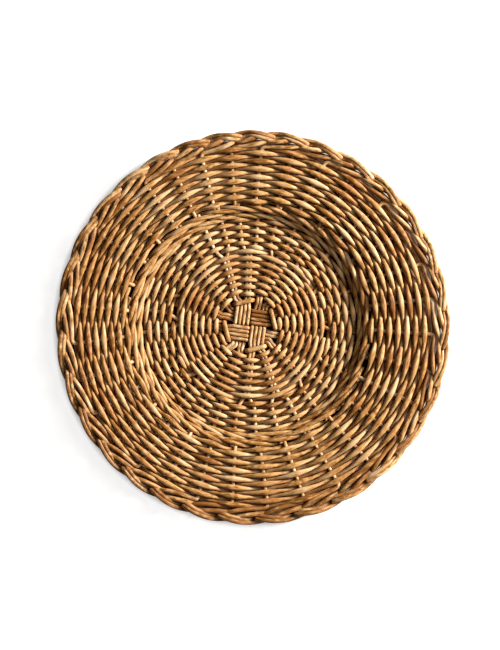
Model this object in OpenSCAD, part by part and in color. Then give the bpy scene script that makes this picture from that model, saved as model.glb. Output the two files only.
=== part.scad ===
// Round charger plate woven from rattan reed. Sixteen base rods cross in the middle and open out
// into thirty-two spokes. Thirty-two rim stakes stand beside them from the wall to a plaited border.
// Each strand is a chain of round arcs through the middles of the gaps between the spokes.

/* [Base rods] */
// Diameter of a base rod
rod_d = 2.8; // [2.5:0.1:3]
// Gap between two rods of a group where the groups cross
rod_gap = 0.8; // [0.6:0.1:1]
// Gap between two rods of a group where the tie holds it together
tie_rod_gap = 0.3; // [0.28:0.01:0.4]
// Turn of the cross seen from above, in degrees
cross_turn = -8; // [-20:1:20]

/* [Floor] */
// Diameter of the reed that the floor is woven with
weaver_d = 3.1; // [2.9:0.1:3.3]
// Gap between two rows over pairs of spokes
row_gap = 0.08; // [0.05:0.01:0.3]
// Gap between two rows over single spokes
single_gap = 0.2; // [0.1:0.01:0.4]
// Rows over pairs of spokes
pair_rows = 13; // [11:1:15]
// Rows over single spokes, up to the foot
single_rows = 8; // [6:1:10]
// Fall of the floor from its middle to its foot, in degrees
floor_fall = 1.5; // [1:0.1:2]
// How deep the foot is worn flat
worn_flat = 0.3; // [0.2:0.05:0.4]

/* [Wall] */
// Slope of the wall, in degrees
wall_slope = 38; // [34:1:42]
// Length of the wall up its slope, between the two bends
wall_run = 11; // [10.5:0.5:13]
// Bend radius at the foot of the wall
foot_bend = 8; // [7:0.5:10]
// Bend radius at the shoulder
shoulder_bend = 8; // [7:0.5:10]
// Diameter of the three reeds of the wale
wale_d = 2.9; // [2.6:0.1:3]
// Gap between two rows of the wale
wale_gap = 0.6; // [0.5:0.1:0.8]

/* [Rim] */
// Slope of the rim, in degrees
rim_slope = 7; // [4:1:10]
// Diameter of the reed that the rim is woven with
rim_weaver_d = 3.1; // [2.9:0.1:3.3]
// Gap between two rows of the rim
rim_gap = 0.3; // [0.25:0.01:0.5]
// Rows of the rim
rim_rows = 14; // [12:2:18]
// Diameter of a rim stake
stake_d = 2.6; // [2.3:0.1:2.7]

/* [Plaited border] */
// Half the width between the turning points of a plaited strand
plait_half = 5.1; // [5.1:0.1:5.5]
// Rise of a strand over the others
plait_rise = 2.7; // [2.6:0.1:2.9]
// Gap between the two stakes of a strand
plait_gap = 0.26; // [0.25:0.01:0.35]
// Gap between the last row of the rim and the border
border_gap = 0.7; // [0.7:0.1:2]
// Radius of the turn from the rim into the border
turn_in = 3.6; // [3:0.1:4]

/* [Handmade drift] */
// Shift of the well from the middle of the border, to the right
well_shift_x = -3; // [-4:0.5:4]
// Shift of the well from the middle of the border, to the back
well_shift_y = 1.8; // [-4:0.1:4]
// Mean twist of the spokes, in degrees
twist = -3.9; // [-5:0.1:5]

/* [Hidden] */
// Clearance between strands that cross
clear = 0.03;
// How much thinner the strands' under-arcs are, so that each joint closes inside the next arc
nest = 0.2;
// How far an under-arc reaches into its neighbours
lap = 0.45;
// Gap between the two cut ends of the tie
tie_end_gap = 0.6;
// Bow of a stretch under which it is drawn straight
straight_bow = 0.002;
// Faces round a strand and round a full turn of an arc
ring_fn = 16;
arc_fn = 48;

groups = 8;
rods_in_group = 4;
spokes = groups * rods_in_group;
pairs = spokes / 2;
base_rods = spokes / 2;
step = 360 / spokes;
// Drift of the spokes round the plate: degrees, waves in a turn, and where the first crest lies
drifts = [[2.8, 1, 18], [1.5, 2, 41], [1, 3, 83]];
deg = 180 / PI;

// Reach of a weaver's middle line above a rod that it crosses
over_rod = (rod_d + weaver_d) / 2 + clear;
over_stake = (stake_d + rim_weaver_d) / 2 + clear;
over_wale = (rod_d + wale_d) / 2 + clear;

// Cross: places of the eight rods of each direction, and their rise where they cross
rod_pitch = rod_d + rod_gap;
cross_lean = 60;
middle_gap = (rod_d + clear) * tan(cross_lean);
cross_rise = (rod_d + clear) / 2;
tight_bend = rod_d * 0.68;
short_bend = rod_d / 2;
cross_edge = middle_gap / 2 + (rods_in_group - 1) * rod_pitch;
half_turn = step * rods_in_group / 2;

// Tie: an eight-sided ring round the cross
tie_pitch = rod_d + tie_rod_gap;
tie_corner = cross_edge * sqrt(2) + over_rod * 1.6;
tie_flat = tie_corner * cos(half_turn);
tie_chord = 2 * tie_flat * tan(half_turn);
tie_steep = 68;
over_tie = over_rod * 1.1;

// Floor: where its rows start and end, measured from the middle along the surface
row_pitch = weaver_d + row_gap;
pair_pitch = rod_d + 3 * clear;
pairs_start = tie_corner + weaver_d + 3 * row_gap;
pairs_end = pairs_start + pair_rows * row_pitch;
single_pitch = weaver_d + single_gap;
singles_start = pairs_end + row_pitch * 0.4;
floor_end = singles_start + single_rows * single_pitch;
opening_start = pairs_end - row_pitch * 1.5;
opening_end = singles_start + single_pitch * 1.5;

// Profile of the plate's middle surface as bends and straights, each start as [radius, height, slope]
foot_z = over_rod + weaver_d / 2 - worn_flat;
foot_at = floor_end;
foot_turn = wall_slope + floor_fall;
wall_at = foot_at + foot_bend * foot_turn / deg;
shoulder_at = wall_at + wall_run;
shoulder_turn = wall_slope - rim_slope;
rim_at = shoulder_at + shoulder_bend * shoulder_turn / deg;
p_foot = [foot_at * cos(floor_fall), foot_z, -floor_fall];
p_wall = bend(p_foot, foot_bend, foot_turn);
p_shoulder = along(p_wall, wall_run);
p_rim = bend(p_shoulder, shoulder_bend, -shoulder_turn);

// Wale, rim and border: where they start along the surface
wale_pitch = wale_d + wale_gap;
wale_rounds = 2;
wale_strokes = 3;
wale_at = floor_end + row_pitch + wale_gap * 2.7;
beside = (rod_d + stake_d) / 2 + clear;
stake_from = (foot_at + wall_at) / 2;
beside_turn = beside / profile(stake_from).x * deg;
rim_pitch = rim_weaver_d + rim_gap;
rim_start = wale_at + (2 * wale_rounds - 1) * wale_pitch + rim_weaver_d;
rim_end = rim_start + rim_rows * rim_pitch;
stake_half = (stake_d + plait_gap) / 2;
lane_in = rim_end + rim_weaver_d / 2 + border_gap + stake_d / 2;
border_at = lane_in + stake_half + plait_half;
plait_strands = 3;
plait_turn = 360 / plait_strands;
plait_end = 630;

function pad2(i) = str(i < 10 ? "0" : "", i);

// Small helpers for vectors
function unit(v) = v / norm(v);
function mid(a, b) = (a + b) / 2;
function polar(angle, r) = [r * cos(angle), r * sin(angle)];
// Angle of a point in the plane, given as the one that lies nearest to a known angle
function angle_near(p, known) =
    let(c = cos(known), s = sin(known)) known + atan2(p.y * c - p.x * s, p.x * c + p.y * s);
// Point at a given distance from the middle on the line through two points
function at_radius(a, b, r) =
    let(d = b - a, k = a * d, q = d * d) a + d * (sqrt(k * k - q * (a * a - r * r)) - k) / q;

// Profile steps: p is [radius, height, slope]
function along(p, run) = [p.x + run * cos(p.z), p.y + run * sin(p.z), p.z];
function bend(p, rad, turn) =
    let(b = p.z + turn, k = sign(turn) * rad)
    [p.x + k * (sin(b) - sin(p.z)), p.y + k * (cos(p.z) - cos(b)), b];
function profile(s) =
    s < foot_at ? along(p_foot, s - foot_at)
    : s < wall_at ? bend(p_foot, foot_bend, (s - foot_at) / foot_bend * deg)
    : s < shoulder_at ? along(p_wall, s - wall_at)
    : s < rim_at ? bend(p_shoulder, shoulder_bend, (shoulder_at - s) / shoulder_bend * deg)
    : along(p_rim, s - rim_at);
// The well sits off the middle, and the rim takes the shift up evenly
function shift(r) =
    let(r_in = p_rim.x, r_out = profile(border_at - plait_half).x)
    min(1, max(0, (r_out - r) / (r_out - r_in))) * [well_shift_x, well_shift_y];
// Point at an angle, a distance along the surface and a height over it
function at(angle, s, h) =
    let(p = profile(s), r = p.x - h * sin(p.z), q = polar(angle, r) + shift(p.x))
    [q.x, q.y, p.y + h * cos(p.z)];

// Angle of a spoke, counted from the cross, also between spokes
function spoke_angle(k) =
    let(a = cross_turn + (k + 1 / 2) * step)
    a + twist + [for (d = drifts) d[0] * cos(d[1] * (a - d[2]))] * [for (d = drifts) 1];
function stake_angle(k) = spoke_angle(k) + beside_turn;
// Both ends of a spoke's straight stretch in the pairs, and its place where it runs alone
function pair_in(k) = cross_turn + (floor(k / 2) + 1 / 2) * 2 * step;
function pair_out(k) = spoke_angle(2 * floor(k / 2) + 1 / 2);
function pair_side(k) = (k - 2 * floor(k / 2) - 1 / 2) * pair_pitch;
function beside_ray(angle, r, side) = polar(angle, r) + polar(angle + 90, side);
function rod_in(k) = beside_ray(pair_in(k), pairs_start, pair_side(k));
function rod_open(k) = beside_ray(pair_out(k), opening_start, pair_side(k));
function rod_alone(k) = polar(spoke_angle(k), opening_end);
function rod_angle(k, r) =
    r >= opening_end ? spoke_angle(k)
    : r > opening_start ? angle_near(at_radius(rod_open(k), rod_alone(k), r), pair_out(k))
    : angle_near(at_radius(rod_in(k), rod_open(k), r), pair_in(k));
function pair_angle(p, r) = mid(rod_angle(2 * p, r), rod_angle(2 * p + 1, r));

// Rise of the arc that spans a chord and keeps its distance from two rods a width apart
function rise(chord, width, keep) =
    let(k = (chord * chord / 4 - width * width / 4 - keep * keep) / (2 * keep))
    k + keep - sqrt(max(0, k * k - width * width / 4));

// A local frame as a matrix: where it is and its three directions
function frame(o, x, y, z) =
    [[x.x, y.x, z.x, o.x], [x.y, y.y, z.y, o.y], [x.z, y.z, z.z, o.z], [0, 0, 0, 1]];
// A round stretch from a through m to b, longer by ext at both ends
module stretch(a, m, b, d, ext) {
    chord = b - a;
    t = unit(chord);
    bow = m - mid(a, b) - t * (t * (m - mid(a, b)));
    if (norm(bow) < straight_bow) {
        x = unit(cross(t, abs(t.z) < 1 / 2 ? [0, 0, 1] : [1, 0, 0]));
        multmatrix(frame(a - t * ext, x, cross(t, x), t))
            cylinder(d = d, h = norm(chord) + 2 * ext, $fn = ring_fn);
    } else {
        across = cross(b - a, m - a);
        area = across * across;
        o = a + (cross(across, b - a) * ((m - a) * (m - a))
            - cross(across, m - a) * ((b - a) * (b - a))) / (2 * area);
        rad = norm(a - o);
        y = unit(m - o - t * (t * (m - o)));
        from = atan2((b - o) * y, (b - o) * t);
        to = atan2((a - o) * y, (a - o) * t);
        more = ext / rad * deg;
        multmatrix(frame(o, t, y, cross(t, y)))
            rotate([0, 0, from - more])
            rotate_extrude(angle = (to < from ? to + 360 : to) - from + 2 * more, $fn = arc_fn)
            translate([rad, 0]) circle(d = d, $fn = ring_fn);
    }
}
// A strand through points, every second one in the middle of a stretch
module strand(p, d) {
    union() for (i = [0 : 2 : len(p) - 3]) let(thin = i % 4 == 2)
        stretch(p[i], p[i + 1], p[i + 2], thin ? d - nest : d, thin ? lap : 0);
}
// A strand whose lowest stretches are worn flat where it stands
module standing_strand(p, d) {
    side = 4 * d;
    union() for (i = [0 : 2 : len(p) - 3]) let(thin = i % 4 == 2, low = p[i + 1].z - (thin ? d - nest : d) / 2)
        difference() {
            stretch(p[i], p[i + 1], p[i + 2], thin ? d - nest : d, thin ? lap : 0);
            if (low < 0) translate([p[i + 1].x - side / 2, p[i + 1].y - side / 2, -side]) cube(side);
        }
}

// A path with round corners: c holds corners as [point, bend radius], ends have no bend.
// A slight corner gets a wider bend, so that its arc isn't too short
function corner(a, v, b, rad) =
    let(u = unit(a - v), w = unit(b - v), turn = 180 - acos(u * w), r = max(rad, short_bend / turn * deg),
        t = r * tan(turn / 2), n = unit(u + w), c = v + n * r / cos(turn / 2))
    [v + u * t, c - n * r, v + w * t];
function rounded(c) =
    let(n = len(c), r = [for (i = [1 : n - 2]) corner(c[i - 1][0], c[i][0], c[i + 1][0], c[i][1])])
    [c[0][0],
     for (i = [0 : n - 3]) each [mid(i == 0 ? c[0][0] : r[i - 1][2], r[i][0]), r[i][0], r[i][1], r[i][2]],
     mid(r[n - 3][2], c[n - 1][0]), c[n - 1][0]];

// Base rods: eight run each way, over one group of four and under the other
function cross_place(i) =
    let(out = abs(i - (base_rods - 1) / 4) - 1 / 2) sign(i - (base_rods - 1) / 4)
    * (middle_gap / 2 + out * rod_pitch);
function in_cross(p, h, turned) =
    let(q = turned ? [-p.y, p.x] : p, c = cos(cross_turn), s = sin(cross_turn))
    [q.x * c - q.y * s + well_shift_x, q.x * s + q.y * c + well_shift_y, profile(tie_flat).y + h];
// One arm of a rod, from the tie out to the top of the wall
function arm(k) =
    let(g = floor(k / rods_in_group), a = cross_turn + (g + 1 / 2) * 2 * half_turn,
        side = (k - g * rods_in_group - (rods_in_group - 1) / 2) * tie_pitch,
        q = beside_ray(a, tie_flat, side), turn_r = foot_bend * tan(foot_turn / 2),
        c = along(p_foot, turn_r), e = along(p_wall, wall_run))
    [[[q.x + well_shift_x, q.y + well_shift_y, profile(tie_flat).y], tight_bend],
     [on_floor(rod_in(k), pairs_start), tight_bend],
     [on_floor(rod_open(k), opening_start), 2 * rod_d],
     [on_floor(rod_alone(k), opening_end), 2 * rod_d],
     [on_ray(k, c), foot_bend],
     [on_ray(k, e), 0]];
function on_floor(q, s) = [q.x + well_shift_x, q.y + well_shift_y, profile(s).y];
function on_ray(k, p) =
    let(q = polar(spoke_angle(k), p.x)) [q.x + well_shift_x, q.y + well_shift_y, p.y];
// The rod's course through the cross, first on one side of the other rods and then on the other
function crossing(i, turned) =
    let(x = cross_place(i), up = i < base_rods / 4 ? -cross_rise : cross_rise,
        run = cross_rise / tan(cross_lean), edge = cross_edge + rod_gap)
    [for (p = [[-edge, up], [-run, up], [run, -up], [edge, -up]])
        [in_cross([x, p.x], p.y, turned), tight_bend]];
function reversed(v) = [for (i = [len(v) - 1 : -1 : 0]) v[i]];
module base_rod(i) {
    upright = i < base_rods / 2;
    j = upright ? i : i - base_rods / 2;
    first = upright ? 5 * rods_in_group + j : j - rods_in_group;
    last = upright ? 3 * rods_in_group - 1 - j : 5 * rods_in_group - 1 - j;
    color("#b07a3f") strand(rounded(concat(reversed(arm(first)),
        crossing(j, !upright), arm(last))), rod_d);
}

// Tie: over one group and under the next, once round the cross
function tie_corner_at(g, side) =
    let(a = cross_turn + (g + 1 / 2) * 2 * half_turn, up = g % 2 == 0 ? over_tie : -over_tie,
        q = beside_ray(a, tie_flat, side * (tie_chord / 2 - over_tie / tan(tie_steep))))
    [q.x + well_shift_x, q.y + well_shift_y, profile(tie_flat).y + up];
module tie_weaver() {
    c = [for (g = [0 : groups - 1]) each [tie_corner_at(g, -1), tie_corner_at(g, 1)]];
    start = mid(c[0], c[2 * groups - 1]);
    cut = unit(c[0] - start) * tie_end_gap / 2;
    color("#c08a4c") strand(rounded(concat([[start + cut, 0]],
        [for (p = c) [p, over_rod * 0.98]], [[start - cut, 0]])), weaver_d);
}

// Weavers: p is the crossing's number, from the start of the spiral, and n the crossings in a turn
function spiral(start, pitch, p, n, first) = start + 2 * pitch * (p - first) / n;
function pair_gap(p, s) = mid(pair_angle(floor(p), s), pair_angle(floor(p) + 1, s));
function centre_points(first, odd) =
    [for (p = [first - 1 / 2 : 1 / 2 : first + pair_rows * pairs / 2 - 1 / 2])
        let(s = spiral(pairs_start, row_pitch, p, pairs, first), crest = p == floor(p),
            before = pair_gap(p - 1, s), after = pair_gap(p, s), a = mid(before, after),
            off = abs(pair_angle(floor(p), s) - a) * s / deg,
            width = (rod_angle(2 * floor(p) + 1, s) - rod_angle(2 * floor(p), s)) * s / deg,
            h = rise(2 * s * sin((after - before) / 2), width + 2 * off, over_rod))
        crest ? at(a, s, (floor(p) + odd) % 2 == 0 ? h : -h) : at(pair_gap(p, s), s, 0)];
module centre_weaver(i) {
    color("#c28b4b") strand(centre_points(i * pairs / 2, i), weaver_d);
}

function rod_gap_angle(p, s) = mid(rod_angle(floor(p), s), rod_angle(floor(p) + 1, s));
function floor_points(first, odd) =
    [for (p = [first + 1 / 2 : 1 / 2 : first + single_rows * spokes / 2 - 1 / 2])
        let(s = spiral(singles_start, single_pitch, p, spokes, first), crest = p == floor(p),
            before = rod_gap_angle(p - 1, s), after = rod_gap_angle(p, s), a = mid(before, after),
            off = abs(rod_angle(floor(p), s) - a) * s / deg,
            h = rise(2 * s * sin((after - before) / 2), 2 * off, over_rod + 2 * clear))
        crest ? at(a, s, (floor(p) + odd) % 2 == 0 ? h : -h) : at(rod_gap_angle(p, s), s, 0)];
module floor_weaver(i) {
    color("#bf874a") standing_strand(floor_points(i * spokes / 2, i), weaver_d);
}

// Rim weavers: each pair starts where the pair inside it ends
function rim_points(first, count, odd) =
    [for (p = [first - 1 / 2 : 1 / 2 : first + count - 1 / 2])
        let(s = spiral(rim_start, rim_pitch, p, spokes, odd * spokes / 2), crest = p == floor(p),
            before = stake_angle(ceil(p) - 1 / 2), after = stake_angle(floor(p) + 1 / 2),
            r = profile(s).x, off = abs(stake_angle(floor(p)) - mid(before, after)) * r / deg,
            h = rise(2 * r * sin((after - before) / 2), 2 * off, over_stake))
        crest ? at(mid(before, after), s, (floor(p) + odd) % 2 == 0 ? h : -h)
              : at(stake_angle(p), s, 0)];
module rim_weaver(i, outer) {
    count = rim_rows * spokes / 4;
    color(outer == 0 ? "#b9803f" : "#b47a3a")
        strand(rim_points(i * spokes / 2 + outer * count, count, i), rim_weaver_d);
}

// Wale: three reeds in turn, each over two spokes and behind the third
function wale_level(row) = wale_at + row * wale_pitch;
function wale_angle(k) = spoke_angle(k) + beside_turn / 2;
function wale_points(m) =
    [for (j = [m : wale_strokes : wale_rounds * spokes - 1]) each
        let(base = 2 * floor(j / spokes), next = 2 * floor((j + wale_strokes) / spokes),
            chord = p_wall.x * step / deg,
            keep = over_wale * (1 + 2 * beside / (3 * chord)) * 1.08,
            under = rise(chord, beside * 1.3, over_wale) * 1.04,
            back = j + wale_strokes < wale_rounds * spokes)
        [at(wale_angle(j - 1 / 2), wale_level(base), 0),
         at(wale_angle(j), wale_level(base), keep),
         at(wale_angle(j + 1 / 2), wale_level(base + 1 / 2), keep * 4 / 3),
         at(wale_angle(j + 1), wale_level(base + 1), keep),
         at(wale_angle(j + 3 / 2), wale_level(base + 1), 0),
         if (back) at(wale_angle(j + 2), wale_level((base + 1 + next) / 2), -under)]];
module wale_rod(m) {
    color("#c79355") strand(wale_points(m), wale_d);
}

// Rim stakes: up the wall, out along the rim and round into the border, a plait of three strands
// with two stakes each. A stake joins the strand on its inner side and is the outer one next time.
function plait_side(turn) =
    turn <= 270 ? -stake_half : turn >= 360 ? stake_half : -stake_half / 4;
function plait_height(turn) =
    let(lobe = floor(turn / 90), x = (turn - lobe * 90 - 45) / 45)
    (lobe % 2 == 0 ? 1 : -1) * plait_rise * (1 - x * x);
function plait_point(k, turn) =
    at(stake_angle(k - turn / plait_turn), border_at - plait_half * cos(turn) + plait_side(turn),
        plait_height(turn));
module rim_stake(k) {
    a = stake_angle(k);
    r = profile(lane_in).x;
    join_at = lane_in - turn_in;
    // The turn into the border starts the plait a little later, and dips to meet its rising strand
    back = turn_in / (r * step) * deg;
    climb = atan(4 * plait_rise / (r * step * 90 / plait_turn) * deg) / 2;
    dip = -turn_in * tan(45 / 2) * sin(climb);
    low = at(a, stake_from, 0);
    up = [low, at(a, (foot_at + 3 * wall_at) / 4, 0), at(a, wall_at, 0),
          at(a, (wall_at + shoulder_at) / 2, 0), at(a, shoulder_at, 0),
          at(a, (shoulder_at + rim_at) / 2, 0), at(a, rim_at, 0)];
    out = at(stake_angle(k), join_at, 0);
    round_in = at(stake_angle(k - back * (1 - cos(45))), join_at + turn_in * sin(45), dip);
    color(k % 2 == 0 ? "#a8713a" : "#b57d42") strand(concat(up, [mid(up[6], out), out, round_in],
        [for (t = [0 : 45 : plait_end]) plait_point(k - back, t)]), stake_d);
}

for (i = [1 : base_rods])
    base_rod(i - 1);
tie_weaver();
for (i = [1, 2])
    centre_weaver(i - 1);
for (i = [1, 2])
    floor_weaver(i - 1);
for (i = [1 : wale_strokes])
    wale_rod(i - 1);
for (i = [1, 2])
    rim_weaver(i - 1, 0);
for (i = [1, 2])
    rim_weaver(i - 1, 1);
for (i = [1 : spokes])
    rim_stake(i - 1);
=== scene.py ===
"""Finish, light and camera for the woven rattan charger plate, seen straight from above."""

import bpy
import numpy as np
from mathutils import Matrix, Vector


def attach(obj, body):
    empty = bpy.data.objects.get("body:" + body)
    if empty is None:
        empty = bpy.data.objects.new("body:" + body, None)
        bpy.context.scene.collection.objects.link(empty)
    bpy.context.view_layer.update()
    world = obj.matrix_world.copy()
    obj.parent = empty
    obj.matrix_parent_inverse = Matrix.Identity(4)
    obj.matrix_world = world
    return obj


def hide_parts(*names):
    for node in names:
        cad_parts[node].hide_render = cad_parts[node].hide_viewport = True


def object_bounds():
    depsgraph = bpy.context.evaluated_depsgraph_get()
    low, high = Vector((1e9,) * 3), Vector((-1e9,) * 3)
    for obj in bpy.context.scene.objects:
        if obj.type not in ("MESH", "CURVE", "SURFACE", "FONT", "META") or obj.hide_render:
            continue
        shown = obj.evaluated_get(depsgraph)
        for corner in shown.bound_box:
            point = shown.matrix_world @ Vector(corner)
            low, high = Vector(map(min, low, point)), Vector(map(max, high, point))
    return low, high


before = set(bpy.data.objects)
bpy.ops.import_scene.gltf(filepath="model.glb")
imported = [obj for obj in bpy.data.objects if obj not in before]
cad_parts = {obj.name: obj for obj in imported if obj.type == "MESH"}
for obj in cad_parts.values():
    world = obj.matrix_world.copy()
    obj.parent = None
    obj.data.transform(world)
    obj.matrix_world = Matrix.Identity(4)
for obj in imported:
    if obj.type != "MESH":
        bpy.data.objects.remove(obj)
cad_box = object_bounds()

# Sizes in millimetres and degrees, as the plate is built

ROD_D = 2.8
ROD_GAP = 0.8
TIE_ROD_GAP = 0.3
CROSS_TURN = -8
WEAVER_D = 3.1
ROW_GAP = 0.08
SINGLE_GAP = 0.2
PAIR_ROWS = 13
SINGLE_ROWS = 8
FLOOR_FALL = 1.5
WORN_FLAT = 0.3
WALL_SLOPE = 38
WALL_RUN = 11
FOOT_BEND = 8
SHOULDER_BEND = 8
WALE_D = 2.9
WALE_GAP = 0.6
WALE_ROUNDS = 2
WALE_RODS = 3
RIM_SLOPE = 7
RIM_WEAVER_D = 3.1
RIM_GAP = 0.3
RIM_ROWS = 14
STAKE_D = 2.6
PLAIT_HALF = 5.1
PLAIT_RISE = 2.7
PLAIT_GAP = 0.26
PLAIT_TURN = 120
PLAIT_END = 630
PLAIT_STEP = 22.5
BORDER_GAP = 0.7
TURN_IN = 3.6
WELL_SHIFT = np.array([-3, 1.8])
TWIST = -3.9
DRIFTS = ((2.8, 1, 18), (1.5, 2, 41), (1, 3, 83))
CLEAR = 0.03
TIE_END_GAP = 0.6
CROSS_LEAN = 60
TIE_STEEP = 68

BASE_RODS = 16
RODS_IN_GROUP = 4
GROUPS = 8
SPOKES = 32
PAIRS = 16
STEP = 360 / SPOKES
HALF_TURN = STEP * RODS_IN_GROUP / 2
DEG = 180 / np.pi
MM = 0.001

# Smoothness of the strands: stretches along each arc, and faces round a strand
ALONG = 10
ROUND = 12


def sin(angle):
    """Sine of an angle in degrees."""
    return np.sin(np.radians(angle))


def cos(angle):
    """Cosine of an angle in degrees."""
    return np.cos(np.radians(angle))


def tan(angle):
    """Tangent of an angle in degrees."""
    return np.tan(np.radians(angle))


# Derived sizes, in the order in which the plate is woven

OVER_ROD = (ROD_D + WEAVER_D) / 2 + CLEAR
OVER_STAKE = (STAKE_D + RIM_WEAVER_D) / 2 + CLEAR
OVER_WALE = (ROD_D + WALE_D) / 2 + CLEAR
OVER_TIE = OVER_ROD * 1.1
ROD_PITCH = ROD_D + ROD_GAP
MIDDLE_GAP = (ROD_D + CLEAR) * tan(CROSS_LEAN)
CROSS_RISE = (ROD_D + CLEAR) / 2
TIGHT_BEND = ROD_D * 0.68
SHORT_BEND = ROD_D / 2
CROSS_EDGE = MIDDLE_GAP / 2 + (RODS_IN_GROUP - 1) * ROD_PITCH
TIE_PITCH = ROD_D + TIE_ROD_GAP
TIE_CORNER = CROSS_EDGE * np.sqrt(2) + OVER_ROD * 1.6
TIE_FLAT = TIE_CORNER * cos(HALF_TURN)
TIE_CHORD = 2 * TIE_FLAT * tan(HALF_TURN)
ROW_PITCH = WEAVER_D + ROW_GAP
PAIR_PITCH = ROD_D + 3 * CLEAR
PAIRS_START = TIE_CORNER + WEAVER_D + 3 * ROW_GAP
PAIRS_END = PAIRS_START + PAIR_ROWS * ROW_PITCH
SINGLE_PITCH = WEAVER_D + SINGLE_GAP
SINGLES_START = PAIRS_END + ROW_PITCH * 0.4
FLOOR_END = SINGLES_START + SINGLE_ROWS * SINGLE_PITCH
OPENING_START = PAIRS_END - ROW_PITCH * 1.5
OPENING_END = SINGLES_START + SINGLE_PITCH * 1.5


def along(place, run):
    """The profile's [radius, height, slope] after a straight run."""
    return np.array([place[0] + run * cos(place[2]), place[1] + run * sin(place[2]), place[2]])


def bend(place, radius, turn):
    """The profile's [radius, height, slope] after a bend of a given radius and turn."""
    slope = place[2] + turn
    signed = np.sign(turn) * radius
    return np.array([
        place[0] + signed * (sin(slope) - sin(place[2])),
        place[1] + signed * (cos(place[2]) - cos(slope)),
        slope,
    ])


FOOT_AT = FLOOR_END
FOOT_TURN = WALL_SLOPE + FLOOR_FALL
WALL_AT = FOOT_AT + FOOT_BEND * FOOT_TURN / DEG
SHOULDER_AT = WALL_AT + WALL_RUN
SHOULDER_TURN = WALL_SLOPE - RIM_SLOPE
RIM_AT = SHOULDER_AT + SHOULDER_BEND * SHOULDER_TURN / DEG
FOOT = np.array([FOOT_AT * cos(FLOOR_FALL), OVER_ROD + WEAVER_D / 2 - WORN_FLAT, -FLOOR_FALL])
WALL = bend(FOOT, FOOT_BEND, FOOT_TURN)
SHOULDER = along(WALL, WALL_RUN)
RIM = bend(SHOULDER, SHOULDER_BEND, -SHOULDER_TURN)


def profile(s):
    """The profile's [radius, height, slope] at a distance from the middle.

    It runs down the floor, bends at the foot, climbs the wall, bends back at the shoulder and runs
    out along the rim.
    """
    if s < FOOT_AT:
        return along(FOOT, s - FOOT_AT)
    if s < WALL_AT:
        return bend(FOOT, FOOT_BEND, (s - FOOT_AT) / FOOT_BEND * DEG)
    if s < SHOULDER_AT:
        return along(WALL, s - WALL_AT)
    if s < RIM_AT:
        return bend(SHOULDER, SHOULDER_BEND, (SHOULDER_AT - s) / SHOULDER_BEND * DEG)
    return along(RIM, s - RIM_AT)


WALE_PITCH = WALE_D + WALE_GAP
WALE_AT = FLOOR_END + ROW_PITCH + WALE_GAP * 2.7
BESIDE = (ROD_D + STAKE_D) / 2 + CLEAR
STAKE_FROM = (FOOT_AT + WALL_AT) / 2
BESIDE_TURN = BESIDE / profile(STAKE_FROM)[0] * DEG
RIM_PITCH = RIM_WEAVER_D + RIM_GAP
RIM_START = WALE_AT + (2 * WALE_ROUNDS - 1) * WALE_PITCH + RIM_WEAVER_D
RIM_END = RIM_START + RIM_ROWS * RIM_PITCH
STAKE_HALF = (STAKE_D + PLAIT_GAP) / 2
LANE_IN = RIM_END + RIM_WEAVER_D / 2 + BORDER_GAP + STAKE_D / 2
BORDER_AT = LANE_IN + STAKE_HALF + PLAIT_HALF

# Reeds give where they press on each other. The solids keep clear of each other, and here the
# border's reeds are drawn thicker in the same space, and the rows lie close

# A stake as it's drawn, a little thinner than its solid, and how much it grows in the border
DRAWN_STAKE_D = STAKE_D * 0.96
BORDER_GROWTH = 0.28
BORDER_D = DRAWN_STAKE_D * (1 + BORDER_GROWTH)
# A stake in the border's inner lane and one in its outer lane press a little into each other, and
# the border stays this far inside that of the solids
LANE_PRESS = 0.05
INSET = 0.12
LANE_HALF = BORDER_D / 2 - LANE_PRESS
BORDER_REACH = BORDER_D * (1 + BORDER_GROWTH) / 2
WAVE_HALF = PLAIT_HALF + STAKE_HALF + STAKE_D / 2 - LANE_HALF - BORDER_REACH - INSET
WAVE_RISE = PLAIT_RISE - (BORDER_D - STAKE_D) / 2 - INSET
# A stake starts its plait this much farther in, close along the rim's last row, and swings out
# late: its share of the first half wave is raised to this power
HUG = 1.2
LATE = 1.8
LANE = BORDER_AT - WAVE_HALF - LANE_HALF - HUG
# How far the first row of each kind starts inside that of the solids, and how far the last one
# ends outside it
SINGLES_BACK = 0.9
SINGLES_OUT = 1.2
WALE_BACK = 1.3
RIM_BACK = 1.3
RIM_OUT = 2.6


def polar(angle, radius):
    """A point in the plane at an angle and a radius."""
    return np.array([radius * cos(angle), radius * sin(angle)])


def well_shift(radius):
    """How far the weave is off the middle: all of the shift in the well, fading over the rim."""
    inner = RIM[0]
    outer = profile(BORDER_AT - PLAIT_HALF)[0]
    return min(1, max(0, (outer - radius) / (outer - inner))) * WELL_SHIFT


def at(angle, s, height):
    """A point at an angle, a distance s along the profile and a height square to it."""
    place = profile(s)
    flat = polar(angle, place[0] - height * sin(place[2])) + well_shift(place[0])
    return np.array([flat[0], flat[1], place[1] + height * cos(place[2])])


def on_floor(flat, s):
    """A point of the plane set on the floor's height at a distance s."""
    return np.array([flat[0] + WELL_SHIFT[0], flat[1] + WELL_SHIFT[1], profile(s)[1]])


def spoke_angle(k):
    """The angle of spoke k: even steps, a twist, and three slow waves of drift."""
    angle = CROSS_TURN + (k + 0.5) * STEP
    return angle + TWIST + sum(size * cos(waves * (angle - crest)) for size, waves, crest in DRIFTS)


def stake_angle(k):
    """The angle of the rim stake beside spoke k."""
    return spoke_angle(k) + BESIDE_TURN


def pair_in(k):
    """The angle at which the pair of spoke k leaves the cross."""
    return CROSS_TURN + (np.floor(k / 2) + 0.5) * 2 * STEP


def pair_out(k):
    """The angle at which the pair of spoke k opens."""
    return spoke_angle(2 * np.floor(k / 2) + 0.5)


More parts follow.
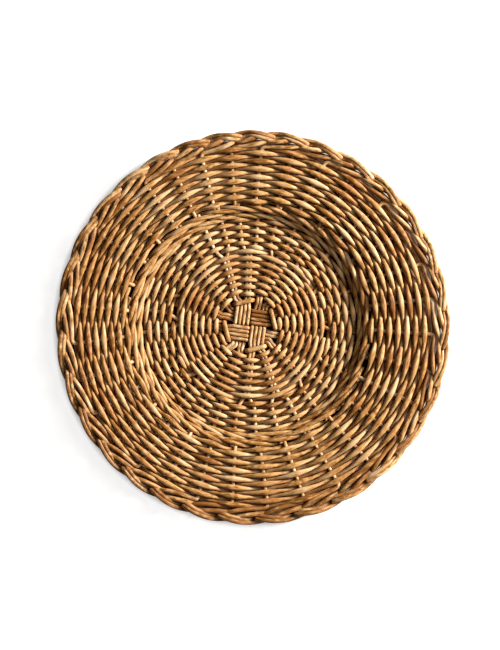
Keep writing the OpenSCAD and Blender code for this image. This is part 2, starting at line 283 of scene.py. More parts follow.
def pair_side(k):
    """How far spoke k lies beside its pair's middle."""
    return (k - 2 * np.floor(k / 2) - 0.5) * PAIR_PITCH


def beside_ray(angle, radius, side):
    """A point at a radius on a ray, moved sideways."""
    return polar(angle, radius) + polar(angle + 90, side)


def rod_in(k):
    """Where spoke k starts its straight run in the pair."""
    return beside_ray(pair_in(k), PAIRS_START, pair_side(k))


def rod_open(k):
    """Where spoke k leaves its pair."""
    return beside_ray(pair_out(k), OPENING_START, pair_side(k))


def rod_alone(k):
    """Where spoke k starts to run alone."""
    return polar(spoke_angle(k), OPENING_END)


def crossing_angle(start, end, radius, known):
    """The angle at which the line from start to end meets a radius, near a known angle."""
    line = end - start
    lean = start @ line
    square = line @ line
    root = np.sqrt(lean * lean - square * (start @ start - radius * radius))
    point = start + line * (root - lean) / square
    across = point[1] * cos(known) - point[0] * sin(known)
    ahead = point[0] * cos(known) + point[1] * sin(known)
    return known + np.degrees(np.arctan2(across, ahead))


def rod_angle(k, radius):
    """The angle of spoke k at a radius: in its pair, opening, or alone."""
    if radius >= OPENING_END:
        return spoke_angle(k)
    if radius > OPENING_START:
        return crossing_angle(rod_open(k), rod_alone(k), radius, pair_out(k))
    return crossing_angle(rod_in(k), rod_open(k), radius, pair_in(k))


def pair_angle(p, radius):
    """The angle of the middle of pair p at a radius."""
    return (rod_angle(2 * p, radius) + rod_angle(2 * p + 1, radius)) / 2


def crest_rise(chord, width, keep):
    """The height of an arc over a chord that keeps its distance from two rods a width apart."""
    k = (chord * chord / 4 - width * width / 4 - keep * keep) / (2 * keep)
    return k + keep - np.sqrt(max(0, k * k - width * width / 4))


def unit(vector):
    """A vector of length one."""
    return vector / np.linalg.norm(vector)


def round_corner(before, place, after, radius):
    """The start, middle and end of the arc that rounds a corner; a slight corner gets a wider bend."""
    back = unit(before - place)
    ahead = unit(after - place)
    turn = 180 - np.degrees(np.arccos(np.clip(back @ ahead, -1, 1)))
    radius = max(radius, SHORT_BEND / turn * DEG)
    inward = unit(back + ahead)
    centre = place + inward * radius / cos(turn / 2)
    tangent = radius * tan(turn / 2)
    return [place + back * tangent, centre - inward * radius, place + ahead * tangent]


def rounded(corners):
    """A path of straights and arcs through corners, each given as a point and a bend radius."""
    arcs = [
        round_corner(corners[i - 1][0], corners[i][0], corners[i + 1][0], corners[i][1])
        for i in range(1, len(corners) - 1)
    ]
    path = [corners[0][0]]
    for arc in arcs:
        path += [(path[-1] + arc[0]) / 2] + arc
    path += [(path[-1] + corners[-1][0]) / 2, corners[-1][0]]
    return path


# Routes of the strands: every second point is the middle of an arc


def rod_arm(k):
    """The corners of a base rod from the tie out to the top of the wall."""
    group = k // RODS_IN_GROUP
    axis = CROSS_TURN + (group + 0.5) * 2 * HALF_TURN
    side = (k - group * RODS_IN_GROUP - (RODS_IN_GROUP - 1) / 2) * TIE_PITCH
    foot = along(FOOT, FOOT_BEND * tan(FOOT_TURN / 2))
    top = along(WALL, WALL_RUN)
    ends = [polar(spoke_angle(k), place[0]) + WELL_SHIFT for place in (foot, top)]
    return [
        [on_floor(beside_ray(axis, TIE_FLAT, side), TIE_FLAT), TIGHT_BEND],
        [on_floor(rod_in(k), PAIRS_START), TIGHT_BEND],
        [on_floor(rod_open(k), OPENING_START), 2 * ROD_D],
        [on_floor(rod_alone(k), OPENING_END), 2 * ROD_D],
        [np.append(ends[0], foot[1]), FOOT_BEND],
        [np.append(ends[1], top[1]), 0],
    ]


def rod_crossing(i, turned):
    """The corners of rod i in the cross: over one group and under the other."""
    middle = (2 * RODS_IN_GROUP - 1) / 2
    place = np.sign(i - middle) * (MIDDLE_GAP / 2 + (abs(i - middle) - 0.5) * ROD_PITCH)
    up = -CROSS_RISE if i < RODS_IN_GROUP else CROSS_RISE
    run = CROSS_RISE / tan(CROSS_LEAN)
    edge = CROSS_EDGE + ROD_GAP
    corners = []
    for ahead, height in ((-edge, up), (-run, up), (run, -up), (edge, -up)):
        x, y = (-ahead, place) if turned else (place, ahead)
        flat = np.array([
            x * cos(CROSS_TURN) - y * sin(CROSS_TURN),
            x * sin(CROSS_TURN) + y * cos(CROSS_TURN),
        ])
        corners.append([on_floor(flat, TIE_FLAT) + np.array([0, 0, height]), TIGHT_BEND])
    return corners


def base_rod(i):
    """The route of a base rod from wall to wall through the cross."""
    upright = i < BASE_RODS // 2
    j = i if upright else i - BASE_RODS // 2
    first = 5 * RODS_IN_GROUP + j if upright else j - RODS_IN_GROUP
    last = 3 * RODS_IN_GROUP - 1 - j if upright else 5 * RODS_IN_GROUP - 1 - j
    return rounded(rod_arm(first)[::-1] + rod_crossing(j, not upright) + rod_arm(last))


def tie_weaver():
    """The route of the tie: over one group of rods and under the next, once round the cross."""
    corners = []
    for group in range(GROUPS):
        axis = CROSS_TURN + (group + 0.5) * 2 * HALF_TURN
        up = OVER_TIE if group % 2 == 0 else -OVER_TIE
        side = TIE_CHORD / 2 - OVER_TIE / tan(TIE_STEEP)
        for sign in (-1, 1):
            flat = beside_ray(axis, TIE_FLAT, sign * side)
            corners.append([on_floor(flat, TIE_FLAT) + np.array([0, 0, up]), OVER_ROD * 0.98])
    start = (corners[0][0] + corners[-1][0]) / 2
    cut = unit(corners[0][0] - start) * TIE_END_GAP / 2
    return rounded([[start + cut, 0]] + corners + [[start - cut, 0]])


def between(angle):
    """The angle of the gap after a spoke: halfway to the next one."""
    return lambda step, s: (angle(step - 0.5, s) + angle(step + 0.5, s)) / 2


def weave(first, count, odd, start, pitch, turn, first_row, angle, gap, width, keep):
    """The route of a weaver: gap, crest, gap, crest... with the crests over and under in turn."""
    route = []
    for step in np.arange(first - 0.5, first + count - 0.25, 0.5):
        s = start + 2 * pitch * (step - first_row) / turn
        if step != np.floor(step):
            route.append(at(gap(step, s), s, 0))
            continue
        before = gap(step - 0.5, s)
        after = gap(step + 0.5, s)
        radius = profile(s)[0]
        off = abs(angle(step, s) - (before + after) / 2) * radius / DEG
        group = width(step, s) * s / DEG
        height = crest_rise(2 * radius * sin((after - before) / 2), group + 2 * off, keep)
        route.append(at((before + after) / 2, s, height if (step + odd) % 2 == 0 else -height))
    return route


def centre_weaver(i):
    """The route of a weaver over the pairs."""
    first = i * PAIRS // 2
    return weave(first, PAIR_ROWS * PAIRS // 2, i, PAIRS_START, ROW_PITCH, PAIRS, first,
                 pair_angle, between(pair_angle),
                 lambda p, s: rod_angle(2 * p + 1, s) - rod_angle(2 * p, s), OVER_ROD)


def floor_weaver(i):
    """The route of a weaver over the single spokes of the floor."""
    first = i * SPOKES // 2
    count = SINGLE_ROWS * SPOKES // 2 - 1
    pitch = SINGLE_PITCH + (SINGLES_BACK + SINGLES_OUT) / SINGLE_ROWS
    return weave(first + 1, count, i, SINGLES_START - SINGLES_BACK, pitch, SPOKES, first,
                 rod_angle, between(rod_angle), lambda k, s: 0, OVER_ROD + 2 * CLEAR)


def rim_weaver(i, outer):
    """The route of a weaver of the rim; an outer one starts where the inner one ends."""
    count = RIM_ROWS * SPOKES // 4
    first = i * SPOKES // 2
    pitch = RIM_PITCH + (RIM_BACK + RIM_OUT) / RIM_ROWS

    def angle(k, s):
        return stake_angle(k)

    return weave(first + outer * count, count, i, RIM_START - RIM_BACK, pitch, SPOKES, first,
                 angle, angle, lambda k, s: 0, OVER_STAKE)


# A wale reed presses on the two spokes that it passes over and crowns between them, and behind the
# third it keeps clear of the spoke and of the stake beside it: shares of the plain heights and width
WALE_PRESS = 0.9
WALE_CROWN = 1.12
WALE_BESIDE = 1.3
WALE_BEHIND = 1.04


def wale_rod(m):
    """The route of a wale reed: over two spokes while it climbs a row, and behind the third."""
    route = []
    last = WALE_ROUNDS * SPOKES
    chord = WALL[0] * STEP / DEG
    keep = OVER_WALE * (1 + 2 * BESIDE / (3 * chord)) * WALE_PRESS
    under = crest_rise(chord, BESIDE * WALE_BESIDE, OVER_WALE) * WALE_BEHIND

    def point(k, row, height):
        return at(spoke_angle(k) + BESIDE_TURN / 2, WALE_AT - WALE_BACK + row * WALE_PITCH, height)

    for j in range(m, last, WALE_RODS):
        row = 2 * (j // SPOKES)
        after = 2 * ((j + WALE_RODS) // SPOKES)
        route += [
            point(j - 0.5, row, 0),
            point(j, row, keep),
            point(j + 0.5, row + 0.5, keep * WALE_CROWN),
            point(j + 1, row + 1, keep),
            point(j + 1.5, row + 1, 0),
        ]
        if j + WALE_RODS < last:
            route.append(point(j + 2, (row + 1 + after) / 2, -under))
    return route


def plait_point(k, turn):
    """A point of a stake in the plait: a wave across the border, over and under in turn.

    Its place across the border is minus the cosine of its phase, and its height is a low parabola
    over each quarter of a wave, up and down in turn. It starts close along the rim's last row and
    swings out late, and it changes from the inner lane to the outer one on its way back in.
    """
    phase = 180 * (turn / 180) ** LATE if turn < 180 else turn
    side = LANE_HALF * np.interp(turn, (270, 360), (-1, 1)) - HUG * max(0, 1 - phase / 90)
    lobe = phase // 90
    x = (phase - lobe * 90 - 45) / 45
    height = (1 if lobe % 2 == 0 else -1) * WAVE_RISE * (1 - x * x)
    return at(stake_angle(k - turn / PLAIT_TURN), BORDER_AT - WAVE_HALF * cos(phase) + side, height)


def rim_stake(k):
    """The route of a rim stake: up the wall, out along the rim and round into the plait."""
    angle = stake_angle(k)
    radius = profile(LANE)[0]
    join = LANE - TURN_IN
    back = TURN_IN / (radius * STEP) * DEG
    stops = (STAKE_FROM, (FOOT_AT + 3 * WALL_AT) / 4, WALL_AT, (WALL_AT + SHOULDER_AT) / 2,
             SHOULDER_AT, (SHOULDER_AT + RIM_AT) / 2, RIM_AT, (RIM_AT + join) / 2, join)
    route = [at(angle, s, 0) for s in stops]
    route.append(at(stake_angle(k - back * (1 - cos(45))), join + TURN_IN * sin(45), 0))
    return route + [plait_point(k - back, turn) for turn in np.arange(0, PLAIT_END + 1, PLAIT_STEP)]


# Strand surfaces

# An arc whose middle lies within this of its chord is drawn as a straight, in millimetres
STRAIGHT = 0.002
# How uneven a reed is: the size of each drift along it, and its length in millimetres. The swelling,
# the ripple and the oval are shares of its radius, and the oval leans by up to a quarter turn. The
# stray and the shiver are shares of its looseness, and the last two are parts of its colour.
SWELL = (0.03, 23)
RIPPLE = (0.012, 5)
OVAL = (0.025, 31)
OVAL_TURN = (np.pi, 60)
STRAY = (0.7, 27)
SHIVER = (0.3, 11)
TONE_DRIFT = (0.22, 30)
RED_DRIFT = (0.3, 90)
# A new reed is spliced in after each such length, with up to this much more or less tone
SPLICE_LONG = 640
SPLICE_TONE = 0.22
# The border is darker from wear, and the scraped spokes are paler
BORDER_TONE = 0.24
SCRAPED_TONE = 0.2
# How far a cut end stands out, as a share of the reed's thickness
CUT_DOME = 0.06


def arc_points(start, middle, end):
    """Points on the circle through three points, from the first up to but not with the last."""
    share = np.arange(ALONG)[:, None] / ALONG
    chord = end - start
    ahead = unit(chord)
    bow = middle - (start + end) / 2
    bow = bow - ahead * (ahead @ bow)
    if np.linalg.norm(bow) < STRAIGHT:
        return start + chord * share
    across = np.cross(chord, middle - start)
    centre = start + (
        np.cross(across, chord) * ((middle - start) @ (middle - start))
        - np.cross(across, middle - start) * (chord @ chord)
    ) / (2 * across @ across)
    out = unit(middle - centre - ahead * (ahead @ (middle - centre)))
    radius = np.linalg.norm(start - centre)
    first = np.arctan2((start - centre) @ out, (start - centre) @ ahead)
    last = np.arctan2((end - centre) @ out, (end - centre) @ ahead)
    first = first + (2 * np.pi if first < last else 0)
    turn = first + (last - first) * share
    return centre + radius * (np.cos(turn) * ahead + np.sin(turn) * out)


def smooth_path(route):
    """The middle line: points along every arc, with each joint eased over its neighbours."""
    arcs = [arc_points(route[i], route[i + 1], route[i + 2]) for i in range(0, len(route) - 2, 2)]
    path = np.concatenate(arcs + [route[-1][None]])
    for _ in range(2):
        path[1:-1] = (path[:-2] + 2 * path[1:-1] + path[2:]) / 4
    return path


def wander(rng, distance, drift):
    """A value that drifts smoothly along a strand, up to a size either way, at each distance.

    Random values lie one drift's length apart. Between two of them it blends by three times the
    square of the share of the way, less twice its cube.
    """
    size, spacing = drift
    count = len(np.arange(-1, distance[-1] / spacing + 3))
    values = rng.uniform(-1, 1, count)
    place = distance / spacing
    whole = np.floor(place)
    part = place - whole
    blend = part * part * (3 - 2 * part)
    index = whole.astype(int) + 1
    return size * (values[index] * (1 - blend) + values[index + 1] * blend)


def axes_along(path):
    """Unit vectors at each point of a path: ahead, level to the side, and up."""
    ahead = np.gradient(path, axis=0)
    ahead /= np.linalg.norm(ahead, axis=1)[:, None]
    side = np.cross(ahead, [0, 0, 1])
    side /= np.linalg.norm(side, axis=1)[:, None]
    return ahead, side, np.cross(side, ahead)


def strand_mesh(name, route, diameter, seed, wide, loose, growth, tint, scraped):
    """A reed as a tube: a ring of points round each point of its middle line, its ends closed.

    A ring's radius is the reed's, times a slow swelling along its length and a slight, slowly
    turning oval. The ring lies square to the path, with its first point upwards. It is wider than
    high where the reed is pressed flat: by one share at each arc's ends, between two spokes, and
    by another at its middle, on a spoke. It grows and flattens where it turns into the border.
    The path strays sideways by up to the given looseness. No point is below the table. A scraped
    reed is paler, and gets less of its material's painted shade, from the cross out to the border.
    """
    rng = np.random.default_rng(seed)
    path = smooth_path([np.asarray(p, float) for p in route])
    stretch = np.linalg.norm(np.diff(path, axis=0), axis=1)
    distance = np.concatenate([[0], np.cumsum(stretch)])
    stray = wander(rng, distance, STRAY) + wander(rng, distance, SHIVER)
    path += axes_along(path)[1] * (loose * stray)[:, None]
    ahead, side, up = axes_along(path)

    swell = 1 + wander(rng, distance, SWELL) + wander(rng, distance, RIPPLE)
    oval = wander(rng, distance, OVAL)
    turned = (np.hypot(path[:, 0], path[:, 1]) - profile(LANE - TURN_IN)[0]) / TURN_IN
    border = np.clip(turned, 0, 1) * (growth > 0)
    swell *= 1 + growth * border
    crossing = np.sin(np.pi * np.arange(len(path)) / ALONG) ** 2
    flat = wide[0] + (wide[1] - wide[0]) * crossing
    side = side * (flat + (1 + growth - flat) * border)[:, None]
    lean = wander(rng, distance, OVAL_TURN)
    # The last turn is a whole one, for the pattern's map, which doesn't run back at its seam
    turns = np.linspace(0, 2 * np.pi, ROUND + 1)
    turn = turns[:-1]
    radius = diameter / 2 * swell[:, None] * (1 + oval[:, None] * np.cos(2 * turn + lean[:, None]))
    upwards = np.cos(turn)[None, :, None] * up[:, None]
    sideways = np.sin(turn)[None, :, None] * side[:, None]
    rings = path[:, None] + radius[..., None] * (upwards + sideways)
    rings[..., 2] = np.maximum(rings[..., 2], 0)

    count = len(path)
    columns = np.arange(ROUND)
    rows = np.arange(count - 1)[:, None] * ROUND
    after = (columns + 1) % ROUND
    faces = np.stack([rows + columns, rows + after, rows + ROUND + after, rows + ROUND + columns], -1)
    faces = faces.reshape(-1, 4)
    points = rings.reshape(-1, 3)

    # A cut end is a low cone of triangles over its ring
    dome = diameter * CUT_DOME
    tips = np.array([path[0] - ahead[0] * dome, path[-1] + ahead[-1] * dome])
    points = np.concatenate([points, tips])
    last = (count - 1) * ROUND
    head = np.stack([after, columns, np.full(ROUND, len(points) - 2)], -1)
    tail = np.stack([last + columns, last + after, np.full(ROUND, len(points) - 1)], -1)

    mesh = bpy.data.meshes.new(name)
    mesh.from_pydata(points * MM, [], faces.tolist() + head.tolist() + tail.tolist())
    mesh.polygons.foreach_set("use_smooth", np.repeat([True, False], [len(faces), 2 * ROUND]))
    mesh.polygons.foreach_set("material_index", np.repeat([0, 1], [len(faces), 2 * ROUND]))

    # The pattern's map: millimetres round the reed, and along it
    girth = np.pi * diameter * turns / (2 * np.pi)
    left = np.stack([girth[:-1], girth[1:], girth[1:], girth[:-1]], -1)
    left = np.broadcast_to(left, (count - 1, ROUND, 4))
    low = np.repeat(distance[:-1], 2).reshape(-1, 2)
    high = np.repeat(distance[1:], 2).reshape(-1, 2)
    lift = np.broadcast_to(np.concatenate([low, high], 1)[:, None], (count - 1, ROUND, 4))
    tube_map = np.stack([left, lift], -1).reshape(-1, 2)
    edge = np.stack([np.cos(turn), np.sin(turn)], -1) * diameter / 2
    cap = np.stack([np.roll(edge, -1, 0), edge, np.zeros_like(edge)], 1).reshape(-1, 2)
    layer = mesh.uv_layers.new(name="reed")
    layer.data.foreach_set("uv", np.concatenate([tube_map, cap, cap]).ravel())

    # Tone of the reed: that of each piece spliced in, and a slow drift along it
    splice = np.floor(distance / SPLICE_LONG + rng.uniform())
    own = rng.uniform(-1, 1, int(splice.max()) + 2)[splice.astype(int)]
    outside = np.hypot(path[:, 0] - WELL_SHIFT[0], path[:, 1] - WELL_SHIFT[1]) - TIE_CORNER
    bare = scraped * np.clip(outside / TIE_CORNER, 0, 1) * (1 - border)
    tone = 0.5 + tint + SPLICE_TONE * own + wander(rng, distance, TONE_DRIFT)
    tone = tone - BORDER_TONE * border + SCRAPED_TONE * bare
    ruddy = rng.uniform(0, 1) + wander(rng, distance, RED_DRIFT)
    for label, value in (("tone", tone), ("ruddy", ruddy), ("scraped", bare)):
        everywhere = np.concatenate([np.repeat(value, ROUND), value[[0, -1]]])
        mesh.attributes.new(label, "FLOAT", "POINT").data.foreach_set("value", everywhere)
    mesh.update()
    return mesh


# Materials


def linear(hex_colour):
    """An sRGB hex colour as linear red, green, blue and alpha."""
    part = np.array([int(hex_colour[i:i + 2], 16) for i in (1, 3, 5)]) / 255
    value = np.where(part <= 0.04045, part / 12.92, ((part + 0.055) / 1.055) ** 2.4)
    return (*value.tolist(), 1)


def add(tree, kind, inputs=None, stops=(), **settings):
    """Adds a node with its settings; an input is a value or another node's output.

    A colour ramp also has stops, as places and hex colours.
    """
    made = tree.nodes.new(kind)
    for name, value in settings.items():
        setattr(made, name, value)
    for socket, value in (inputs or {}).items():
        if isinstance(value, bpy.types.NodeSocket):
            tree.links.new(value, made.inputs[socket])
        else:
            made.inputs[socket].default_value = value
    if stops:
        elements = made.color_ramp.elements
        for place, colour in stops[1:-1]:
            elements.new(place).color = linear(colour)
        for end in (0, -1):
            elements[end].position = stops[end][0]
            elements[end].color = linear(stops[end][1])
    return made


def new_material(name):
    """An empty node material and its tree."""
    material = bpy.data.materials.new(name)
    material.use_nodes = True
    material.node_tree.nodes.clear()
    return material, material.node_tree


# Width of a fibre streak and its length along the reed, in millimetres. Real fibres are about
# 0.2 mm wide, which the picture can't show, so they are drawn in bundles.
FIBRE_WIDE = 0.9
FIBRE_LONG = 8
# Width and length of a blotch
BLOTCH_WIDE = 4
BLOTCH_LONG = 8
# How far apart the reeds' own parts of the pattern lie, so that no two reeds match
PATTERN_APART = 40
# How much the fibres and the blotches change the tone
FIBRE_TONE = 1.8
BLOTCH_TONE = 1.3
# Painted shade: a reed is darkened where a neighbouring reed lies within this far, in millimetres.
# A reed is unshaded where more than this share of its view is open, and a scraped one from a share
# that is lower by the second.
PAINTED_SHADE_REACH = 6
UNSHADED_FROM = 0.72
SCRAPED_LESS_SHADE = 0.45
# Spacing of the pores in a cut end, in millimetres
PORE = 0.35
# Grains of the paper to a metre
PAPER_GRAINS = 900


def reed_material(name, pale, mid, deep, red):
    """Peeled rattan core reed under a thin clear lacquer: straight open fibres, each reed its own tone.

    The fibres break the highlight into long streaks, and the lacquer makes it soft and broad.
    Where neighbouring reeds close its view, its colour is darkened with painted shade.
    """
    material, tree = new_material(name)
    reed = add(tree, "ShaderNodeUVMap", uv_map="reed").outputs["UV"]
    tone = add(tree, "ShaderNodeAttribute", attribute_name="tone").outputs["Fac"]
    ruddy = add(tree, "ShaderNodeAttribute", attribute_name="ruddy").outputs["Fac"]
    # Each reed has its own part of the pattern, which its redness picks
    apart = add(tree, "ShaderNodeMath", {
        0: ruddy, 1: PATTERN_APART}, operation="MULTIPLY").outputs[0]
    own = add(tree, "ShaderNodeCombineXYZ", {"Z": apart}).outputs[0]
    place = add(tree, "ShaderNodeVectorMath", {0: reed, 1: own}, operation="ADD").outputs[0]
    fibre_place = add(tree, "ShaderNodeMapping", {
        "Vector": place, "Scale": (1 / FIBRE_WIDE, 1 / FIBRE_LONG, 1)}).outputs[0]
    fibre = add(tree, "ShaderNodeTexNoise", {
        "Vector": fibre_place, "Scale": 1, "Detail": 3, "Roughness": 0.6}).outputs["Fac"]
    blotch_place = add(tree, "ShaderNodeMapping", {
        "Vector": place, "Scale": (1 / BLOTCH_WIDE, 1 / BLOTCH_LONG, 1)}).outputs[0]
    blotch = add(tree, "ShaderNodeTexNoise", {
        "Vector": blotch_place, "Scale": 1, "Detail": 2}).outputs["Fac"]

    # Tone 0 to 1: the reed's own, moved by its fibres and by slow blotches
    fibres = add(tree, "ShaderNodeMath", {
        0: fibre, 1: FIBRE_TONE, 2: -FIBRE_TONE / 2}, operation="MULTIPLY_ADD").outputs[0]
    blotches = add(tree, "ShaderNodeMath", {
        0: blotch, 1: BLOTCH_TONE, 2: -BLOTCH_TONE / 2}, operation="MULTIPLY_ADD").outputs[0]
    both = add(tree, "ShaderNodeMath", {0: fibres, 1: blotches}, operation="ADD").outputs[0]
    level = add(tree, "ShaderNodeMath", {0: tone, 1: both}, operation="ADD", use_clamp=True).outputs[0]
    golden = add(tree, "ShaderNodeValToRGB", {"Fac": level},
                 [(0, deep), (0.45, mid), (1, pale)]).outputs["Color"]
    reddish = add(tree, "ShaderNodeValToRGB", {"Fac": level},
                  [(0, deep), (0.5, red), (1, mid)]).outputs["Color"]
    redness = add(tree, "ShaderNodeMapRange", {
        "Value": ruddy, "From Min": 0.55, "From Max": 1.1, "To Max": 0.75}).outputs[0]
    colour = add(tree, "ShaderNodeMix", {
        "Factor": redness, "A": golden, "B": reddish}, data_type="RGBA").outputs[2]
    rough = add(tree, "ShaderNodeMapRange", {
        "Value": fibre, "From Min": 0.3, "From Max": 0.7, "To Min": 0.38, "To Max": 0.58}).outputs[0]
    bump = add(tree, "ShaderNodeBump", {
        "Height": fibre, "Strength": 0.5, "Distance": 0.25 * MM}).outputs[0]
    # Painted shade: the colour is darkened to a dark brown where reeds lie close, and less on the
    # scraped spokes
    scraped = add(tree, "ShaderNodeAttribute", attribute_name="scraped").outputs["Fac"]
    most = add(tree, "ShaderNodeMath", {
        0: scraped, 1: -SCRAPED_LESS_SHADE, 2: UNSHADED_FROM}, operation="MULTIPLY_ADD").outputs[0]
    open_sky = add(tree, "ShaderNodeAmbientOcclusion", {
        "Distance": PAINTED_SHADE_REACH * MM}, samples=6).outputs["AO"]
    unshaded = add(tree, "ShaderNodeMapRange", {
        "Value": open_sky, "From Min": 0.1, "From Max": most},
        interpolation_type="SMOOTHSTEP").outputs[0]
    # The painted shade's dark brown, mixed in where the view is closed
    painted_shade_colour = add(tree, "ShaderNodeMix", {
        "Factor": unshaded, "A": linear("#4E2208"), "B": colour}, data_type="RGBA").outputs[2]
    # The painted shade also lowers the gloss and the lacquer there
    sheen = add(tree, "ShaderNodeMapRange", {"Value": unshaded, "To Min": 0.04, "To Max": 0.22}).outputs[0]
    lacquer = add(tree, "ShaderNodeMapRange", {"Value": unshaded, "To Max": 0.05}).outputs[0]
    shader = add(tree, "ShaderNodeBsdfPrincipled", {
        "Base Color": painted_shade_colour, "Roughness": rough, "Normal": bump, "IOR": 1.5,
        "Specular IOR Level": sheen, "Coat Weight": lacquer, "Coat Roughness": 0.3})
    add(tree, "ShaderNodeOutputMaterial", {"Surface": shader.outputs[0]})
    return material


def cut_end_material():
    """The cut end of a reed: open pores in darker, dry wood."""
    material, tree = new_material("cut_rattan_end")
    reed = add(tree, "ShaderNodeUVMap", uv_map="reed").outputs["UV"]
    pores = add(tree, "ShaderNodeTexVoronoi", {"Vector": reed, "Scale": 1 / PORE}).outputs["Distance"]
    colour = add(tree, "ShaderNodeValToRGB", {"Fac": pores},
                 [(0.1, "#3E210D"), (0.35, "#8A5A2C"), (0.7, "#B98450")]).outputs["Color"]
    bump = add(tree, "ShaderNodeBump", {
        "Height": pores, "Strength": 0.6, "Distance": 0.2 * MM}).outputs[0]
    shader = add(tree, "ShaderNodeBsdfPrincipled", {
        "Base Color": colour, "Roughness": 0.85, "Normal": bump, "IOR": 1.5})
    add(tree, "ShaderNodeOutputMaterial", {"Surface": shader.outputs[0]})
    return material


# The paper burns out from the first to the second of these shares of the plate's radius, to this
# much glow
BURN_FROM = 0.98
BURN_TO = 1.03
GLOW = 0.85
# The painted shadow's disc lies off the middle by these shares of the radius, away from the window,
# and fades out from the next to the last
SHADE_SHIFT = (0.012, 0.005)
SHADE_FROM = 0.95
SHADE_TO = 0.985


def paper_material(radius):
    """Matt white paper that keeps the plate's shadow, and burns out to white round the plate.

    The glow is seen only directly, and starts at the plate's edge. Under the plate a painted shadow
    darkens the paper, over a disc that lies a little away from the window.
    """
    material, tree = new_material("matt_white_paper")
    place = add(tree, "ShaderNodeTexCoord").outputs["Object"]
    grain = add(tree, "ShaderNodeTexNoise", {"Vector": place, "Scale": PAPER_GRAINS}).outputs["Fac"]
    bump = add(tree, "ShaderNodeBump", {
        "Height": grain, "Strength": 0.1, "Distance": 0.05 * MM}).outputs[0]
    distance = add(tree, "ShaderNodeVectorMath", {0: place}, operation="LENGTH").outputs["Value"]
    burn = add(tree, "ShaderNodeMapRange", {
        "Value": distance, "From Min": BURN_FROM * radius, "From Max": BURN_TO * radius,
        "To Max": GLOW}).outputs[0]
    moved = add(tree, "ShaderNodeVectorMath", {
        0: place, 1: (SHADE_SHIFT[0] * radius, SHADE_SHIFT[1] * radius, 0)},
        operation="ADD").outputs[0]
    from_shade = add(tree, "ShaderNodeVectorMath", {0: moved}, operation="LENGTH").outputs["Value"]
    bare = add(tree, "ShaderNodeMapRange", {
        "Value": from_shade, "From Min": SHADE_FROM * radius,
        "From Max": SHADE_TO * radius}).outputs[0]
    # Painted shadow: dark brown paper inside the disc, white paper outside it
    paper_with_painted_shadow = add(tree, "ShaderNodeMix", {
        "Factor": bare, "A": linear("#2C1606"), "B": linear("#DEDEDC")}, data_type="RGBA").outputs[2]
    paper = add(tree, "ShaderNodeBsdfDiffuse", {"Color": paper_with_painted_shadow, "Normal": bump})
    glow = add(tree, "ShaderNodeEmission", {"Color": (1, 1, 1, 1), "Strength": burn})
    path = add(tree, "ShaderNodeLightPath").outputs
    seen = add(tree, "ShaderNodeMath", {0: path["Is Camera Ray"], 1: path["Is Glossy Ray"]},
               operation="MAXIMUM").outputs[0]
    seen = add(tree, "ShaderNodeMath", {0: seen, 1: path["Is Transmission Ray"]},
               operation="MAXIMUM").outputs[0]
    none = add(tree, "ShaderNodeEmission", {"Strength": 0})
    shown = add(tree, "ShaderNodeMixShader", {0: seen, 1: none.outputs[0], 2: glow.outputs[0]})
    both = add(tree, "ShaderNodeAddShader", {0: paper.outputs[0], 1: shown.outputs[0]})
    add(tree, "ShaderNodeOutputMaterial", {"Surface": both.outputs[0]})
    return material


# The pieces

weaving_reed = reed_material("peeled_rattan_weaving_reed", "#D3B48A", "#BE8D52", "#7C4C1E", "#A56B38")
spoke_reed = reed_material("peeled_rattan_spoke_reed", "#DFC6A2", "#C2945E", "#815326", "#AA7141")
cut_end = cut_end_material()


def lay_strand(name, route, diameter, material, wide, loose=0, growth=0, tint=0, scraped=0):
    """Makes a strand, puts it in the scene in place of its solid, and gives it its finish.

    Its random numbers come from its name, so they are the same in each run.
    """
    seed = sum(ord(letter) * (place + 7) for place, letter in enumerate(name))
    mesh = strand_mesh(name + "_reed", route, diameter, seed, wide, loose, growth, tint, scraped)
    mesh.materials.append(material)
    mesh.materials.append(cut_end)
    piece = bpy.data.objects.new(name + "_reed", mesh)
    bpy.context.scene.collection.objects.link(piece)
    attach(piece, "root")
    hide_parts(name)


# Reeds are pressed a little flat, and weavers stray: width over height between spokes and on one
PRESSED_WALE = (1.32, 1.32)
PRESSED_FLOOR = (1.12, 1.42)
PRESSED_RIM = (1.05, 1.66)
PRESSED_ROD = (1.2, 1.2)
PRESSED_STAKE = (1.33, 1.33)
LOOSE = 0.22
# Painted shade: the upper rods that lie level across the cross are darkened all along, standing in
# for the shade on their block of the cross
PAINTED_SHADE_RODS = range(12, 16)
PAINTED_SHADE_TINT = -0.55
# The floor's reeds are paler towards the middle, and the rim's are a shade darker
CENTRE_PALER = 0.19
FLOOR_PALER = 0.05
RIM_DARKER = -0.07


def lay_weaver(name, route, diameter, wide, tint=0):
    """Lays a weaving reed."""
    lay_strand(name, route, diameter, weaving_reed, wide, LOOSE, tint=tint)


# Base rods; some of them are darkened with painted shade
for i in range(BASE_RODS):
    lay_strand(f"base_rod_{i + 1:02d}", base_rod(i), ROD_D, spoke_reed, PRESSED_ROD,
               tint=PAINTED_SHADE_TINT if i in PAINTED_SHADE_RODS else 0, scraped=1)
lay_weaver("tie_weaver", tie_weaver(), WEAVER_D, PRESSED_WALE)
for i in range(2):
    lay_weaver(f"centre_weaver_{i + 1}", centre_weaver(i), WEAVER_D, PRESSED_FLOOR, CENTRE_PALER)
    lay_weaver(f"floor_weaver_{i + 1}", floor_weaver(i), WEAVER_D, PRESSED_FLOOR, FLOOR_PALER)
    lay_weaver(f"rim_weaver_inner_{i + 1}", rim_weaver(i, 0), RIM_WEAVER_D, PRESSED_RIM, RIM_DARKER)
    lay_weaver(f"rim_weaver_outer_{i + 1}", rim_weaver(i, 1), RIM_WEAVER_D, PRESSED_RIM, RIM_DARKER)
for m in range(WALE_RODS):
    lay_weaver(f"wale_rod_{m + 1}", wale_rod(m), WALE_D, PRESSED_WALE)
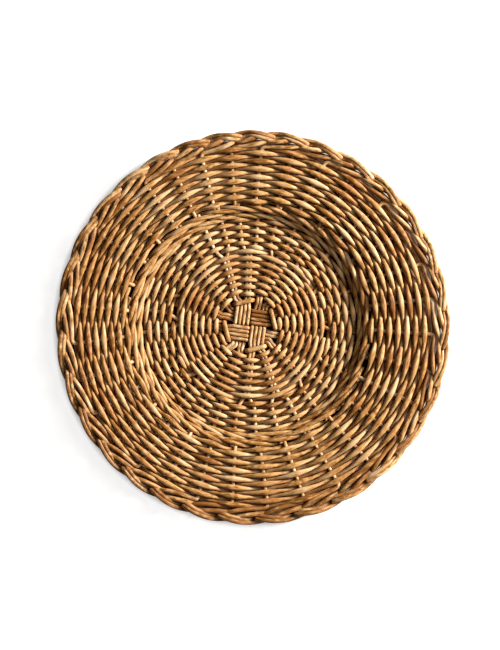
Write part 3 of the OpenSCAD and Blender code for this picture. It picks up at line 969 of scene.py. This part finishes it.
for k in range(SPOKES):
    lay_strand(f"rim_stake_{k + 1:02d}", rim_stake(k), DRAWN_STAKE_D, spoke_reed,
               PRESSED_STAKE, growth=BORDER_GROWTH, scraped=1)


# Floor, light and camera


def flat_sheet(name, half):
    """A square sheet at the level of the table."""
    mesh = bpy.data.meshes.new(name)
    corners = [(-half, -half, 0), (half, -half, 0), (half, half, 0), (-half, half, 0)]
    mesh.from_pydata(corners, [], [(0, 1, 2, 3)])
    sheet = bpy.data.objects.new(name, mesh)
    bpy.context.scene.collection.objects.link(sheet)
    return sheet


def soft_lamp(name, azimuth, elevation, distance, size, power, colour):
    """A square lamp that faces the plate from an azimuth and elevation, in degrees.

    Its distance and size are in metres, and its power is in watts.
    """
    data = bpy.data.lights.new(name, "AREA")
    data.size = size
    data.energy = power
    data.color = linear(colour)[:3]
    lamp = bpy.data.objects.new(name, data)
    place = np.array([*polar(azimuth, cos(elevation)), sin(elevation)]) * distance
    lamp.location = place.tolist()
    lamp.rotation_euler = (np.radians(90 - elevation), 0, np.radians(azimuth + 90))
    bpy.context.scene.collection.objects.link(lamp)


# The table reaches the horizon of the low views
TABLE_HALF = 30
floor = flat_sheet("table", TABLE_HALF)
plate_radius = (cad_box[1][0] - cad_box[0][0]) / 2
floor.data.materials.append(paper_material(plate_radius))

# One soft window low on the right, and a weaker light from higher up
soft_lamp("window", 22, 23, 2.2, 0.5, 132, "#FFFAF4")
soft_lamp("skylight", 22, 50, 2.4, 1.4, 22, "#FFFDFA")

# The room gives back a little warm light from all sides
ROOM_LIGHT = 0.035
world = bpy.data.worlds.new("studio")
bpy.context.scene.world = world
world.use_nodes = True
background = world.node_tree.nodes["Background"]
background.inputs["Color"].default_value = linear("#FFE6CC")
background.inputs["Strength"].default_value = ROOM_LIGHT

# The photograph is 500 by 650 pixels, seen straight from above. The plate's middle is at
# (253, 327.5) there and its radius is 197.5 pixels.
PHOTO_WIDE = 500
PHOTO_TALL = 650
PLATE_MIDDLE = (253, 327.5)
PLATE_RADIUS_PX = 197.5
metres_per_px = plate_radius / PLATE_RADIUS_PX
# The sensor is in millimetres, and the heights of the camera and of the plate's edge in metres
SENSOR = 36
CAMERA_HEIGHT = 1.6
EDGE_HEIGHT = 20 * MM
camera_data = bpy.data.cameras.new("camera")
camera_data.sensor_width = SENSOR
camera_data.lens = SENSOR * (CAMERA_HEIGHT - EDGE_HEIGHT) / (PHOTO_TALL * metres_per_px)
camera = bpy.data.objects.new("camera", camera_data)
camera.location = (
    (PHOTO_WIDE / 2 - PLATE_MIDDLE[0]) * metres_per_px,
    (PLATE_MIDDLE[1] - PHOTO_TALL / 2) * metres_per_px,
    CAMERA_HEIGHT,
)
bpy.context.scene.collection.objects.link(camera)
bpy.context.scene.camera = camera
bpy.context.scene.view_settings.view_transform = "Standard"
